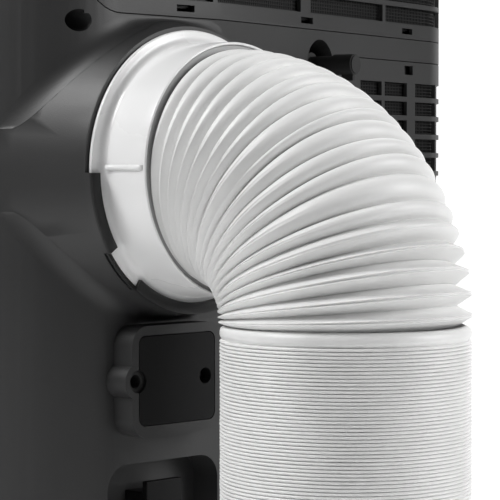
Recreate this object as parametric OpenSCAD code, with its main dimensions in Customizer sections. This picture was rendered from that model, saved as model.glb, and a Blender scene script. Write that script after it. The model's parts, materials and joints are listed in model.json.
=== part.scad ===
// Portable air conditioner on casters, with an exhaust hose on its rear corner.
// Frame: +Z up, +Y out of the rear face, +X towards the corner that carries the exhaust.
// The origin is on the floor, under the middle of the whole object.

/* [Body] */
// Width of the body across its side walls
body_w = 498; // [430:1:600]
// Depth of the body from the front face to the rear face
body_d = 385; // [340:1:465]
// Height of the top cover above the floor
body_h = 765; // [730:1:920]
// Depth of the rear casing, from the rear face to the seam with the front casing
rear_depth = 200; // [180:1:215]
// Wall thickness of the moulded casings
wall = 3; // [2.5:0.1:3.6]
// Radius of the upright rear corners
corner_r = 64; // [55:1:76]
// Radius of the upright front corners
front_r = 62; // [50:1:75]
// Height of the top cover
top_h = 65; // [54:1:80]
// Radius of the rounded edge round the top
top_r = 24; // [20:1:28]
// Height of the base pan
base_h = 46; // [40:1:56]
// Clearance of a seam between two fixed mouldings
seam = 0.6; // [0.5:0.05:0.72]

/* [Exhaust] */
// Height of the exhaust axis above the floor
exhaust_z = 430; // [410:1:460]
// Distance from the exhaust axis to the side wall
exhaust_inset = 88; // [88:1:105]
// Angle that the exhaust turns towards the side, degrees
exhaust_turn = 11; // [9.2:0.1:13.2]
// Distance from the rear face out to the flange, on the axis
exhaust_out = 13.9; // [12.5:0.1:15.5]
// Distance from the flange plane back to the wall round it
facet_back = 24.1; // [23:0.1:27.5]
// Outer radius of the shroud
shroud_r = 90.5; // [90.5:0.1:92]
// Widening of the shroud towards its root, degrees
shroud_flare = 13.5; // [11.3:0.1:14.5]
// Radius of the adaptor's flange
flange_r = 88; // [84:0.1:88]
// Thickness of the adaptor's flange
flange_t = 3; // [2.5:0.1:3.6]
// Inner radius of the lip that holds the flange
lip_r = 83.5; // [82.5:0.1:84]
// Thickness of that lip
lip_t = 2.6; // [2.2:0.1:3.2]
// Outer radius of the adaptor's sleeve
sleeve_r = 79.2; // [78.5:0.1:80.5]
// Length of the sleeve in front of the flange plane
sleeve_l = 36.8; // [31:0.1:44.2]

/* [Hose] */
// Outer diameter of the hose
hose_d = 150; // [140:0.5:152]
// Depth of a pleat
pleat_d = 6; // [5:0.1:7.2]
// Radius of the bend at the hose's centre line
bend_r = 91.5; // [90:0.5:110]
// Start of the bend in front of the flange plane
bend_start = 34.5; // [29:0.5:41.5]
// Length of the straight stack of closed pleats
stack_l = 152; // [127:1:183]
// Length of the cuff at the window end
cuff_l = 55; // [46:1:66]
// Distance of the cuff's spigot inside the hose's outer radius
spigot_gap = 3.5; // [3:0.1:4.2]

/* [Filter panels] */
// Height of the upper panel's lower edge above the exhaust axis
upper_low = 98.3; // [96:0.1:118]
// Distance from the upper panel's upper edge to the top cover
upper_gap = 18; // [15:1:22]
// Distance from the exhaust axis to the upper panel's end, towards the side
upper_end = 66; // [55:1:70]
// Radius of the upper panel's corners
panel_corner_r = 25; // [21:1:30]
// Height of an upper cell
upper_cell_h = 12.3; // [10.2:0.1:13.5]
// Distance between rows of upper cells
upper_pitch = 15.8; // [15:0.1:19]
// Distance between upright bars of the upper panel
upper_bar_pitch = 113; // [94:1:136]
// Height of the lower panel's upper edge above the exhaust axis
lower_high = 81; // [75:0.1:88]
// Distance from the lower panel's lower edge to the base pan
lower_gap = 112; // [93:1:134]
// Distance from the exhaust axis to the lower panel's end
lower_end = -202.5; // [-226:0.5:-202]
// Height of a lower cell
lower_cell_h = 10.2; // [8.5:0.1:12.2]
// Distance between rows of lower cells
lower_pitch = 13.9; // [13.4:0.1:16.7]
// Distance between upright bars of the lower panel
lower_bar_pitch = 43.5; // [36:0.5:52]
// Width of a wide upright bar
wide_bar = 13; // [10.8:0.1:15.6]
// Width of a thin upright bar
thin_bar = 4.4; // [3.7:0.1:5.3]
// Thickness of the panels
panel_t = 3; // [2.5:0.1:3.6]
// Distance from the outer face back to a filter mesh
mesh_back = 8; // [6.7:0.1:9.6]
// Thickness of a filter mesh
mesh_t = 1; // [0.8:0.1:1.2]
// How far each panel reaches forward along the side wall
panel_wrap = 40; // [33:1:48]

/* [Cord cover] */
// Length of the raised boss
boss_w = 81; // [75:1:90]
// Height of the raised boss
boss_h = 70; // [65:1:84]
// Height of the boss's middle under the exhaust axis
boss_drop = 132; // [128:1:138]
// Distance from the flange plane back to the boss's face
boss_back = 7.8; // [6.5:0.1:9.3]
// Width of the cover plate
plate_w = 66.9; // [60:0.1:69]
// Height of the cover plate
plate_h = 55.8; // [46.5:0.1:60]
// Thickness of the cover plate
plate_t = 2; // [1.7:0.1:2.4]
// Radius of the cord hole
cord_hole_r = 7.15; // [6.2:0.05:8.5]
// Radius of the gland's bore, for the cord
gland_bore_r = 4.2; // [3.5:0.05:5]
// Radius of the cover screw's well
screw_well_r = 5.1; // [4.8:0.1:6.1]

/* [Drain] */
// Distance of the upper drain from the exhaust axis
drain_x = -181; // [-183:0.5:-151]
// Height of the upper drain above the exhaust axis
drain_z = 73.5; // [64:0.5:76]
// Radius of the drain's recess
drain_r = 18; // [15:0.5:20]
// Depth of the drain's recess
drain_deep = 16; // [13:0.5:19]
// Outer radius of the drain spout
spout_r = 4.5; // [4:0.1:5.4]
// Outer radius of the drain plug
plug_r = 7.2; // [6.5:0.1:8.6]
// Distance that the plug stands out of the rear face
plug_out = 29; // [27:0.5:35]

/* [Outlet] */
// Width of the cold air outlet
outlet_w = 330; // [300:1:360]
// Height of the cold air outlet
outlet_h = 90; // [80:1:108]
// Depth of the outlet frame
outlet_d = 56; // [52:1:67]
// Distance from the outlet's upper edge to the top cover
outlet_drop = 20; // [17:1:24]
// Distance between the upright vanes
vane_pitch = 60; // [50:1:64]
// Length of a vane, front to back
vane_l = 26; // [22:0.5:27]

/* [Controls] */
// Width of the control panel
control_w = 300; // [280:1:340]
// Depth of the control panel
control_d = 66; // [56:1:79]
// Radius of a push button
button_r = 8; // [6.7:0.1:9.6]
// Distance between the push buttons
button_pitch = 30; // [27:1:31]
// Travel of a push button
button_travel = 1.5; // [1.2:0.1:1.8]

/* [Casters] */
// Radius of a caster wheel
wheel_r = 20; // [16.7:0.1:21]
// Width of a caster wheel
wheel_w = 18; // [15:0.5:21.6]
// Height of the base pan above the floor
base_z = 52; // [50:1:62]
// Distance from the caster's swivel axis to the side and end walls
caster_inset = 60; // [54:1:72]
// Distance that a wheel trails its swivel axis
caster_trail = 14; // [11.7:0.1:16.8]
// Radius of the swivel stem
stem_r = 4; // [3.4:0.1:4.8]

/* [Fits] */
// Radial clearance of a turning or sliding fit
running = 0.06; // [0.05:0.01:0.08]
// Clearance between parts that move past each other
free_gap = 0.5; // [0.42:0.01:0.6]

/* [Hidden] */

$fn = 64;
CASING = [0.29, 0.29, 0.30];
CASING_DARK = [0.17, 0.17, 0.18];
BLACK = [0.06, 0.06, 0.065];
WHITE = [0.93, 0.93, 0.93];
HOSE = [0.86, 0.86, 0.85];
STEEL = [0.62, 0.63, 0.65];
COPPER = [0.72, 0.43, 0.28];
ALUMINIUM = [0.78, 0.79, 0.80];

// Small distance by which a cut passes the face that it opens
cut = 1;
// Angle between the points of a rounded corner, degrees
arc_step = 6;

half_w = body_w / 2;
hose_r = hose_d / 2;
spigot_r = hose_r - spigot_gap;
exhaust_x = half_w - exhaust_inset;
sin_turn = sin(exhaust_turn);
cos_turn = cos(exhaust_turn);
case_z0 = base_z + base_h;
case_z1 = body_h - top_h;
case_h = case_z1 - case_z0;

// The rear wall runs round the -X corner, along the rear face, along a facet square to the
// exhaust, and round the +X corner. A place on it is its distance along the wall from the end
// of the -X corner, and its distance out of the wall.
corner_l = PI / 2 * corner_r;
flat_x0 = -half_w + corner_r;
facet_x = exhaust_x - (facet_back - exhaust_out * cos_turn) / sin_turn;
flat_l = facet_x - flat_x0;
facet_end_x = half_w - corner_r + corner_r * sin_turn;
facet_l = (facet_end_x - facet_x) / cos_turn;
far_angle = 90 - exhaust_turn;
far_arc_l = far_angle * PI / 180 * corner_r;
far_centre = [half_w - corner_r, -facet_l * sin_turn - corner_r * cos_turn];
far_start = flat_l + facet_l;
far_end = far_start + far_arc_l;
wall_start = -corner_l - (rear_depth - corner_r);
wall_end = far_end + rear_depth + far_centre.y;

// Point of the rear wall at distance t along it and distance out of its outer face
function wall_at(t, out) =
    t < -corner_l ? [-half_w - out, -corner_r + t + corner_l]
    : t < 0 ? [flat_x0, -corner_r] + (corner_r + out) * unit(90 - t / corner_r * 180 / PI)
    : t <= flat_l ? [flat_x0 + t, out]
    : t <= far_start ? [facet_x, 0] + (t - flat_l) * [cos_turn, -sin_turn]
        + out * [sin_turn, cos_turn]
    : t < far_end ? far_centre
        + (corner_r + out) * unit(far_angle - (t - far_start) / corner_r * 180 / PI)
    : [half_w + out, far_centre.y - (t - far_end)];

// Turn of the wall's outward normal away from +Y, degrees
function wall_turn(t) =
    t < -corner_l ? 90
    : t < 0 ? -t / corner_r * 180 / PI
    : t <= flat_l ? 0
    : t <= far_start ? -exhaust_turn
    : t < far_end ? far_angle - 90 - (t - far_start) / corner_r * 180 / PI
    : -90;

function unit(angle) = [cos(angle), sin(angle)];
corner_n = ceil(90 / arc_step);
wall_marks = concat(
    [for (i = [0:corner_n]) -corner_l + i * corner_l / corner_n],
    [flat_l],
    [for (i = [0:corner_n]) far_start + i * far_arc_l / corner_n]);
function stops(t1, t2) =
    concat([t1], [for (t = wall_marks) if (t > t1 + 0.2 && t < t2 - 0.2) t], [t2]);
function reversed(list) = [for (i = [len(list) - 1:-1:0]) list[i]];
function wall_line(t1, t2, out) = [for (t = stops(t1, t2)) wall_at(t, out)];
// Outline of a piece of wall between two distances along it and two distances out of it
function strip(t1, t2, out, inner) =
    concat(wall_line(t1, t2, out), reversed(wall_line(t1, t2, inner)));
// Distance along the wall of a point on the flat rear face
function rear_t(x) = x - flat_x0;
// Distance along the wall of a point on the facet, from its distance to the exhaust axis
function facet_t(u) = flat_l + u + (exhaust_x - facet_x) / cos_turn - facet_back * sin_turn / cos_turn;

// Outline of the front, from the seam at +X round to the seam at -X
function front_corner(side, out) =
    [for (i = [0:corner_n])
        let (a = side > 0 ? -i * 90 / corner_n : -90 - i * 90 / corner_n)
        [side * (half_w - front_r), -body_d + front_r] + (front_r + out) * unit(a)];
function front_line(out) = concat(
    [[half_w + out, -rear_depth]], front_corner(1, out), front_corner(-1, out),
    [[-half_w - out, -rear_depth]]);
function plan(out) = concat(wall_line(wall_start, wall_end, out), front_line(out));

// The whole object stands over the origin
drop_y = exhaust_out + (bend_start + bend_r) * cos_turn;
drop_x = exhaust_x + (bend_start + bend_r) * sin_turn;
frame_x = (half_w - max(half_w, drop_x + hose_r)) / 2;
frame_y = (body_d - drop_y - hose_r) / 2;

upper_z0 = exhaust_z + upper_low;
upper_z1 = case_z1 - upper_gap;
upper_t1 = facet_t(upper_end);
panel_t0 = -corner_l - panel_wrap;
lower_z1 = exhaust_z + lower_high;
lower_z0 = case_z0 + lower_gap;
lower_t1 = rear_t(exhaust_x + lower_end);

tray_z = exhaust_z + 94;
outlet_z1 = case_z1 - outlet_drop;
outlet_z0 = outlet_z1 - outlet_h;
front_y = -body_d;

module in_frame() {
    translate([frame_x, frame_y, 0]) children();
}

// +Y is the exhaust axis, pointing out, and the origin is the middle of the flange's face
module at_exhaust() {
    translate([exhaust_x, exhaust_out, exhaust_z]) rotate([0, 0, -exhaust_turn]) children();
}

// +Y points out of the rear wall, at distance t along it
module at_wall(t, z) {
    p = wall_at(t, 0);
    translate([p.x, p.y, z]) rotate([0, 0, wall_turn(t)]) children();
}

// Cylinder along +Y from y1 to y2
module rod_y(r, y1, y2, fn = 64) {
    translate([0, y1, 0]) rotate([-90, 0, 0]) cylinder(r = r, h = y2 - y1, $fn = fn);
}

// Cylinder along +X from x1 to x2
module rod_x(r, x1, x2, fn = 64) {
    translate([x1, 0, 0]) rotate([0, 90, 0]) cylinder(r = r, h = x2 - x1, $fn = fn);
}

module ring_y(r, inner, y1, y2) {
    difference() {
        rod_y(r, y1, y2);
        rod_y(inner, y1 - cut, y2 + cut);
    }
}

// Box between two corners
module box(low, high) {
    translate(low) cube(high - low);
}

// Rounded rectangle in the XZ plane, from y1 to y2, between [x, z] corners
module rounded_y(low, high, r, y1, y2) {
    translate([0, y2, 0]) rotate([90, 0, 0]) linear_extrude(y2 - y1) rounded(low, high, r);
}

module rounded(low, high, r) {
    translate([low.x + r, low.y]) square([high.x - low.x - 2 * r, high.y - low.y]);
    translate([low.x, low.y + r]) square([high.x - low.x, high.y - low.y - 2 * r]);
    for (x = [low.x + r, high.x - r])
        for (y = [low.y + r, high.y - r])
            translate([x, y]) circle(r, $fn = 32);
}

// Piece of wall, between two heights
module wall_piece(t1, t2, z1, z2, out, inner) {
    translate([0, 0, z1]) linear_extrude(z2 - z1) polygon(strip(t1, t2, out, inner));
}

// ---------------------------------------------------------------- casings

// Sunk wells for the casing screws: tubes behind the wall, along +Y. Each place is a distance
// along the wall and a height.
screw_places = [
    [facet_t(70.6), exhaust_z + 92.4],
    [rear_t(exhaust_x - 120), case_z0 + 40],
    [rear_t(-half_w + 90), case_z0 + 40],
];
casing_well_r = 6.9;
casing_well_deep = 22;

module at_well(place) {
    p = wall_at(place.x, 0);
    translate([p.x, p.y, place.y]) children();
}

module screw_well_tubes() {
    intersection() {
        for (p = screw_places)
            at_well(p) rod_y(casing_well_r + 2, -casing_well_deep - 2, 12);
        body_inside(-wall / 2);
    }
}

// Room inside the casing's outline
module body_inside(out) {
    translate([0, 0, case_z0]) linear_extrude(case_h) polygon(plan(out));
}

module shroud() {
    ring_y(shroud_r, shroud_bore, -shroud_deep, -flange_t - 0.3);
    difference() {
        union() {
            ring_y(shroud_r, flange_r + 0.3, -flange_t - 0.3 - 0.5, 0.3);
            ring_y(shroud_r, lip_r, 0.3, 0.3 + lip_t);
        }
        box([-shroud_r - cut, -flange_t - 0.3, -1.5], [shroud_r + cut, 20, shroud_r + cut]);
        rotate([0, lip_window_start, 0]) lip_window();
    }
}

// Window through the lip, over a stretch of degrees that starts below the +X direction
lip_window_start = 34;
lip_window_angle = 20;
module lip_window() {
    rotate([90, 0, 0]) translate([0, 0, -20]) linear_extrude(20 + flange_t + 0.3)
        polygon([[0, 0], 120 * unit(0), 120 * unit(-lip_window_angle)]);
}

shroud_bore = 80.6;
shroud_deep = 67;
root_l = 92;

// Wider root of the shroud, which runs out on the side wall
module shroud_root() {
    difference() {
        at_exhaust() difference() {
            union() {
                translate([0, -root_l, 0]) rotate([-90, 0, 0])
                    cylinder(r1 = shroud_r + (root_l - flange_t - 2) * tan(shroud_flare),
                        r2 = shroud_r, h = root_l - flange_t - 2, $fn = 128);
                rod_y(shroud_r + (root_l - flange_t - 2) * tan(shroud_flare), -root_l - 40, -root_l, 128);
            }
            rod_y(shroud_r - 1, -root_l - 41, cut, 96);
        }
        body_inside(-wall);
    }
}
boss_u1 = 47;
boss_u0 = boss_u1 - boss_w;
boss_z1 = -boss_drop + boss_h / 2;
boss_z0 = -boss_drop - boss_h / 2;
plate_u1 = boss_u1 - 6.4;
plate_u0 = plate_u1 - plate_w;
plate_z = -boss_drop + 0.6;
cord_u = plate_u1 + 1.3;
cord_z = plate_z;
gland_y1 = -boss_back - plate_t - 0.4;
gland_y0 = -facet_back - wall - 2.1;
cover_screw_u = plate_u0 + 8.3;
bulge_r = cord_hole_r + 3.95;

module cord_boss() {
    rounded_y([boss_u0, boss_z0], [boss_u1, boss_z1], 13, -facet_back - wall, -boss_back);
    translate([cord_u, 0, cord_z]) rod_y(bulge_r, gland_y0, -boss_back);
}

module cord_boss_hollow() {
    inner = wall;
    floor_y = -boss_back - plate_t - 0.2 - 2.5;
    difference() {
        rounded_y([boss_u0 + inner, boss_z0 + inner], [boss_u1 - inner, boss_z1 - inner],
            13 - inner, -facet_back - 3 * wall, floor_y);
        translate([cord_u, 0, cord_z]) rod_y(bulge_r, gland_y0, 0);
    }
    rounded_y([plate_u0 - seam, plate_z - plate_h / 2 - seam],
        [plate_u1 + seam, plate_z + plate_h / 2 + seam], 5 + seam,
        -boss_back - plate_t - 0.2, -boss_back + cut);
    translate([cord_u, 0, cord_z]) rod_y(cord_hole_r, gland_y0 - cut, cut);
    translate([cover_screw_u, 0, cord_z]) rod_y(screw_well_r + 2.2, floor_y - cut, 0);
}

// Recess under the cord cover, where the cord's hook stands
recess_u0 = -46;
recess_u1 = 52;
recess_z1 = -185;
recess_z0 = -300;
recess_deep = 22;
module hook_recess(grow) {
    rounded_y([recess_u0 - grow, recess_z0 - grow], [recess_u1 + grow, recess_z1 + grow], 16 + grow,
        -facet_back - recess_deep - grow, grow > 0 ? -facet_back - wall : 0);
}

handle_y0 = -rear_depth + 12;
handle_l = 76;
handle_z = case_z1 - 70;
handle_h = 34;
handle_deep = 30;

module side_opening(grow) {
    for (side = [-1, 1])
        translate([side * half_w, 0, 0])
            box([-10, handle_y0 - grow, handle_z - grow],
                [10, handle_y0 + handle_l + grow, handle_z + handle_h + grow]);
}

module rear_casing() in_frame() color(CASING) {
    difference() {
        union() {
            difference() {
                union() {
                    wall_piece(wall_start, wall_end, case_z0, case_z1, 0, -wall);
                    at_exhaust() cord_boss();
                    at_exhaust() hook_recess(wall);
                    at_wall(rear_t(exhaust_x + drain_x), exhaust_z + drain_z)
                        rod_y(drain_r + 1.8, -drain_deep - 2, -wall / 2);
                    screw_well_tubes();
                }
                wall_piece(panel_t0, upper_t1 + seam, upper_z0 - seam, upper_z1 + seam,
                    5, -wall - 2);
                wall_piece(panel_t0, lower_t1 + seam, lower_z0 - seam, lower_z1 + seam,
                    5, -wall - 2);
                at_exhaust() cord_boss_hollow();
                at_exhaust() hook_recess(0);
                at_wall(rear_t(exhaust_x + drain_x), exhaust_z + drain_z) {
                    rod_y(drain_r, -drain_deep, cut);
                    rod_y(spout_r + 0.5, -drain_deep - 2 - cut, cut);
                }
                for (p = screw_places)
                    at_well(p) {
                        rod_y(casing_well_r, -casing_well_deep, 16);
                        rod_y(1.9, -casing_well_deep - 2 - cut, 0);
                    }
                side_opening(0);
                at_exhaust() rod_y(shroud_r - 2, -shroud_deep + 2, 10);
            }
            at_exhaust() shroud();
            shroud_root();
            panel_corners(upper_t1, upper_z0, upper_z1);
        }
    }
    at_exhaust() cover_screw_post();
}

// The upper panel's free end has rounded corners, which the casing fills
module panel_corners(t, z0, z1) {
    for (side = [1, -1])
        intersection() {
            at_wall(t + seam, side > 0 ? z0 - seam : z1 + seam) corner_cut(panel_corner_r + seam, side);
            wall_piece(t - 2 * panel_corner_r, t + seam + 2, z0 - 3, z1 + 3, 0, -wall);
        }
}

// Solid in front of and behind a wall that fills the corner outside a rounded edge
module corner_cut(r, side) {
    over = 0.8;
    translate([0, 20, 0]) rotate([90, 0, 0]) linear_extrude(40) scale([1, side])
        polygon(concat([[over, -over], [over, r]],
            [for (a = [0:10:90]) [-r + r * cos(a), r - r * sin(a)]], [[-r, -over]]));
}

// Post inside the boss that takes the cover's screw, on a rib from the boss's side
module cover_screw_post() {
    low = -facet_back - wall - 2;
    high = -boss_back - 11.6;
    translate([cover_screw_u, 0, cord_z]) ring_y(4.6, 1.5, low, high);
    box([boss_u0 + wall / 2, low, cord_z - 1.5], [cover_screw_u - 3, high, cord_z + 1.5]);
}

module front_casing() in_frame() color(CASING) {
    difference() {
        translate([0, 0, case_z0]) linear_extrude(case_h)
            polygon(concat(front_line(0), reversed(front_line(-wall))));
        box([-outlet_w / 2, front_y - cut, outlet_z0], [outlet_w / 2, front_y + wall + cut, outlet_z1]);
    }
}

control_z = body_h - 2;
control_y = front_y + 34;
pocket_deep = 15;

module top_cover() in_frame() color(CASING) {
    difference() {
        union() {
            difference() {
                hull()
                    for (a = [0:10:90])
                        translate([0, 0, a == 0 ? case_z1 : body_h - top_r + top_r * sin(a) - 0.01])
                            linear_extrude(a == 0 ? top_h - top_r : 0.01)
                            polygon(plan(-top_r * (1 - cos(a))));
                translate([0, 0, case_z1 - cut]) linear_extrude(top_h - top_r + cut)
                    polygon(plan(-wall));
                translate([0, 0, case_z1]) linear_extrude(top_h - wall) polygon(plan(-top_r));
            }
            box([-control_w / 2 - 3, control_y - 3, body_h - pocket_deep - 3],
                [control_w / 2 + 3, control_y + control_d + 3, body_h - wall / 2]);
        }
        box([-control_w / 2 - seam, control_y - seam, body_h - pocket_deep],
            [control_w / 2 + seam, control_y + control_d + seam, body_h + cut]);
    }
}

button_x = [for (i = [0:4]) -control_w / 2 + 30 + i * button_pitch];
window_x = control_w / 2 - 90;
window_w = 70;
window_d = 26;

module control_panel() in_frame() color(BLACK) {
    mid_y = control_y + control_d / 2;
    difference() {
        union() {
            box([-control_w / 2, control_y, control_z - 3], [control_w / 2, control_y + control_d, control_z]);
            for (x = [-control_w / 2 + 8, control_w / 2 - 8])
                translate([x, mid_y, body_h - pocket_deep]) cylinder(r = 4, h = pocket_deep - 4);
        }
        for (x = button_x)
            translate([x, mid_y, control_z - 3 - cut]) cylinder(r = button_r, h = 3 + 2 * cut);
        box([window_x - window_w / 2, mid_y - window_d / 2, control_z - 3 - cut],
            [window_x + window_w / 2, mid_y + window_d / 2, control_z + cut]);
    }
}

module display_window() in_frame() color([0.10, 0.12, 0.14]) {
    mid_y = control_y + control_d / 2;
    box([window_x - window_w / 2 + 0.2, mid_y - window_d / 2 + 0.2, control_z - 3],
        [window_x + window_w / 2 - 0.2, mid_y + window_d / 2 - 0.2, control_z - 0.3]);
}

// Push button: a cap through the control panel, with a rim under it
module button(i) in_frame() color([0.75, 0.76, 0.78]) {
    mid_y = control_y + control_d / 2;
    translate([button_x[i], mid_y, 0]) {
        translate([0, 0, control_z - 4]) cylinder(r = button_r - 0.3, h = 5.4);
        translate([0, 0, control_z - 5.4]) cylinder(r = button_r + 1.6, h = 2);
        translate([0, 0, control_z - 9]) cylinder(r = 2.5, h = 4);
    }
}
module power_button() button(0);
module mode_button() button(1);
module timer_button() button(2);
module up_button() button(3);
module down_button() button(4);

// Cup behind each hand opening
module side_handles() in_frame() color(CASING_DARK) {
    t = 2.4;
    for (side = [-1, 1])
        mirror([side < 0 ? 1 : 0, 0, 0])
            difference() {
                box([half_w - handle_deep, handle_y0 - t, handle_z - t],
                    [half_w - wall, handle_y0 + handle_l + t, handle_z + handle_h + t]);
                box([half_w - handle_deep + t, handle_y0, handle_z],
                    [half_w + cut, handle_y0 + handle_l, handle_z + handle_h]);
            }
}

// Self-tapping screws at the bottom of the casing's wells
module casing_screws() in_frame() color(STEEL) {
    for (p = screw_places)
        at_well(p) {
            difference() {
                rod_y(4.2, -casing_well_deep, -casing_well_deep + 2.6);
                for (a = [0, 90])
                    translate([0, -casing_well_deep + 2, 0]) rotate([0, a, 0])
                        cube([4.6, 2.4, 1], center = true);
            }
            rod_y(1.8, -casing_well_deep - 16, -casing_well_deep);
        }
}

// ---------------------------------------------------------------- base and casters

caster_xy = [for (x = [-1, 1]) for (y = [-caster_inset, front_y + caster_inset]) [x * (half_w - caster_inset), y]];
stem_top = base_z + 22;
drain_low_x = -60;
drain_low_z = base_z + 18;
stub_r = 7;

module base_pan() in_frame() color(CASING_DARK) {
    difference() {
        union() {
            difference() {
                translate([0, 0, base_z]) linear_extrude(base_h) polygon(plan(0));
                translate([0, 0, base_z + 4]) linear_extrude(base_h) polygon(plan(-wall));
            }
            for (p = caster_xy)
                translate([p.x, p.y, base_z]) cylinder(r = 10, h = stem_top - base_z + 4);
            translate([drain_low_x, 0, drain_low_z]) rod_y(stub_r, -wall, 8);
        }
        for (p = caster_xy)
            translate([p.x, p.y, base_z - cut]) cylinder(r = stem_r + running, h = stem_top - base_z + cut + 1);
        translate([drain_low_x, 0, drain_low_z]) rod_y(4, -wall - cut, 8 + cut);
    }
}

// Cap on the base pan's drain stub
module bottom_drain_cap() in_frame() color(BLACK) {
    translate([drain_low_x, 0, drain_low_z]) difference() {
        union() {
            rod_y(stub_r + 2.5, 0.5, 11);
            for (a = [0:30:330])
                rotate([0, a, 0]) translate([stub_r + 2, 1, -0.8]) cube([1.3, 9.4, 1.6]);
        }
        rod_y(stub_r + running, -cut, 8.5);
    }
}

arm_t = 3.5;
arm_x = wheel_w / 2 + 1;
module caster_fork(i) in_frame() color(CASING_DARK) {
    p = caster_xy[i];
    translate([p.x, p.y, 0]) {
        translate([0, 0, base_z - 8]) cylinder(r = arm_x + arm_t, h = 6);
        translate([0, 0, base_z - 2 - cut]) cylinder(r = stem_r, h = stem_top - base_z + 2 + cut);
        for (side = [-1, 1]) {
            x0 = side > 0 ? arm_x : -arm_x - arm_t;
            box([x0, -caster_trail - 7, wheel_r], [x0 + arm_t, 4, base_z - 5]);
            translate([0, -caster_trail, wheel_r]) rod_x(9, x0, x0 + arm_t);
        }
        translate([0, -caster_trail, wheel_r]) rod_x(3, -arm_x - arm_t + 0.5, arm_x + arm_t - 0.5);
    }
}
module caster_fork_1() caster_fork(0);
module caster_fork_2() caster_fork(1);
module caster_fork_3() caster_fork(2);
module caster_fork_4() caster_fork(3);

module caster_wheel(i) in_frame() color(BLACK) {
    p = caster_xy[i];
    h = wheel_w / 2;
    translate([p.x, p.y - caster_trail, wheel_r]) rotate([0, 90, 0]) rotate_extrude()
        polygon([
            [3 + running, -h], [8, -h], [9, -h + 2], [wheel_r - 5, -h + 2], [wheel_r - 4, -h],
            [wheel_r - 1.5, -h], [wheel_r, -h + 1.5], [wheel_r, h - 1.5], [wheel_r - 1.5, h],
            [wheel_r - 4, h], [wheel_r - 5, h - 2], [9, h - 2], [8, h], [3 + running, h]]);
}
module caster_wheel_1() caster_wheel(0);
module caster_wheel_2() caster_wheel(1);
module caster_wheel_3() caster_wheel(2);
module caster_wheel_4() caster_wheel(3);

// ---------------------------------------------------------------- filter panels

// Upright bars are alternately wide and thin, and a wide one is on the body's middle plane
function is_wide(k) = k % 2 == 0;
function bar_w(k) = is_wide(k) ? wide_bar : thin_bar;

// Cuts one row of cells between the bars, from t0 to t1 along the wall
module cell_row(t0, t1, first, pitch, z, h) {
    k0 = floor((t0 - first) / pitch);
    k1 = ceil((t1 - first) / pitch);
    for (k = [k0:k1]) {
        a = max(t0, first + k * pitch + bar_w(k) / 2);
        b = min(t1, first + (k + 1) * pitch - bar_w(k + 1) / 2);
        if (b - a > 6)
            wall_piece(a, b, z, z + h, 4, -panel_t - 4);
    }
}

module upper_filter_frame() in_frame() color(CASING) {
    z0 = upper_z0;
    rows = floor((upper_z1 - upper_z0 - 20) / upper_pitch);
    difference() {
        wall_piece(panel_t0 + seam, upper_t1, z0, upper_z1, 0, -panel_t);
        at_wall(upper_t1, z0) corner_cut(panel_corner_r, 1);
        at_wall(upper_t1, upper_z1) corner_cut(panel_corner_r, -1);
        for (i = [0:rows - 1])
            cell_row(panel_t0 + 12, upper_t1 - 18, rear_t(0), upper_bar_pitch,
                z0 + 11 + i * upper_pitch, upper_cell_h);
        for (x = [-17, -163, -310])
            wall_piece(facet_or_rear(x) - 8, facet_or_rear(x) + 8, z0 + 3.4, z0 + 7.7, 4, -panel_t - 4);
    }
}

// Distance along the wall of a point, from its distance to the exhaust axis
function facet_or_rear(u) = u > -40 ? facet_t(u) : rear_t(exhaust_x + u);

module upper_filter_mesh() in_frame() color(BLACK) {
    wall_piece(panel_t0 + 4, upper_t1 - 12, upper_z0 + 7, upper_z1 - 7, -mesh_back, -mesh_back - mesh_t);
    for (z = [upper_z0 + 7, upper_z1 - 10])
        wall_piece(panel_t0 + 4, upper_t1 - 12, z, z + 3, -panel_t, -mesh_back);
}

module lower_filter_frame() in_frame() color(CASING) {
    rows = floor((lower_z1 - lower_z0 - 22) / lower_pitch);
    difference() {
        wall_piece(panel_t0 + seam, lower_t1, lower_z0, lower_z1, 0, -panel_t);
        for (i = [0:rows - 1])
            cell_row(panel_t0 + 12, lower_t1 - 36, rear_t(exhaust_x - 316.3), lower_bar_pitch,
                lower_z1 - 15.8 - lower_cell_h - i * lower_pitch, lower_cell_h);
        wall_piece(rear_t(exhaust_x - 319), rear_t(exhaust_x - 306), lower_z1 - 9.5, lower_z1 - 2.8, 4, -panel_t - 4);
    }
}

module lower_filter_mesh() in_frame() color(BLACK) {
    wall_piece(panel_t0 + 4, lower_t1 - 6, lower_z0 + 7, lower_z1 - 12, -mesh_back, -mesh_back - mesh_t);
    for (z = [lower_z0 + 7, lower_z1 - 15])
        wall_piece(panel_t0 + 4, lower_t1 - 6, z, z + 3, -panel_t, -mesh_back);
}

// ---------------------------------------------------------------- exhaust

sleeve_bore = hose_r + 0.6;

module exhaust_adaptor() in_frame() color(WHITE) {
    fillet = 5;
    rim = 1.8;
    at_exhaust() {
        rotate([-90, 0, 0]) rotate_extrude($fn = 128)
            polygon(concat(
                [[sleeve_bore - 4, -flange_t], [flange_r - 0.8, -flange_t], [flange_r, -flange_t + 0.8],
                    [flange_r, -0.8], [flange_r - 0.8, 0]],
                [for (a = [0:15:90])
                    [sleeve_r + fillet - fillet * sin(a), fillet - fillet * cos(a)]],
                [for (a = [0:22.5:180])
                    [sleeve_r - rim + rim * cos(a), sleeve_l - rim + rim * sin(a)]],
                [[sleeve_bore, sleeve_l - rim], [sleeve_bore, 8], [sleeve_bore - 4, 5]]));
        for (side = [0, 180])
            rotate([0, side, 0])
                box([sleeve_r - 0.6, 2.5, 0.6], [sleeve_r + 1.4, sleeve_l - 2, 3]);
    }
}

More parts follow.
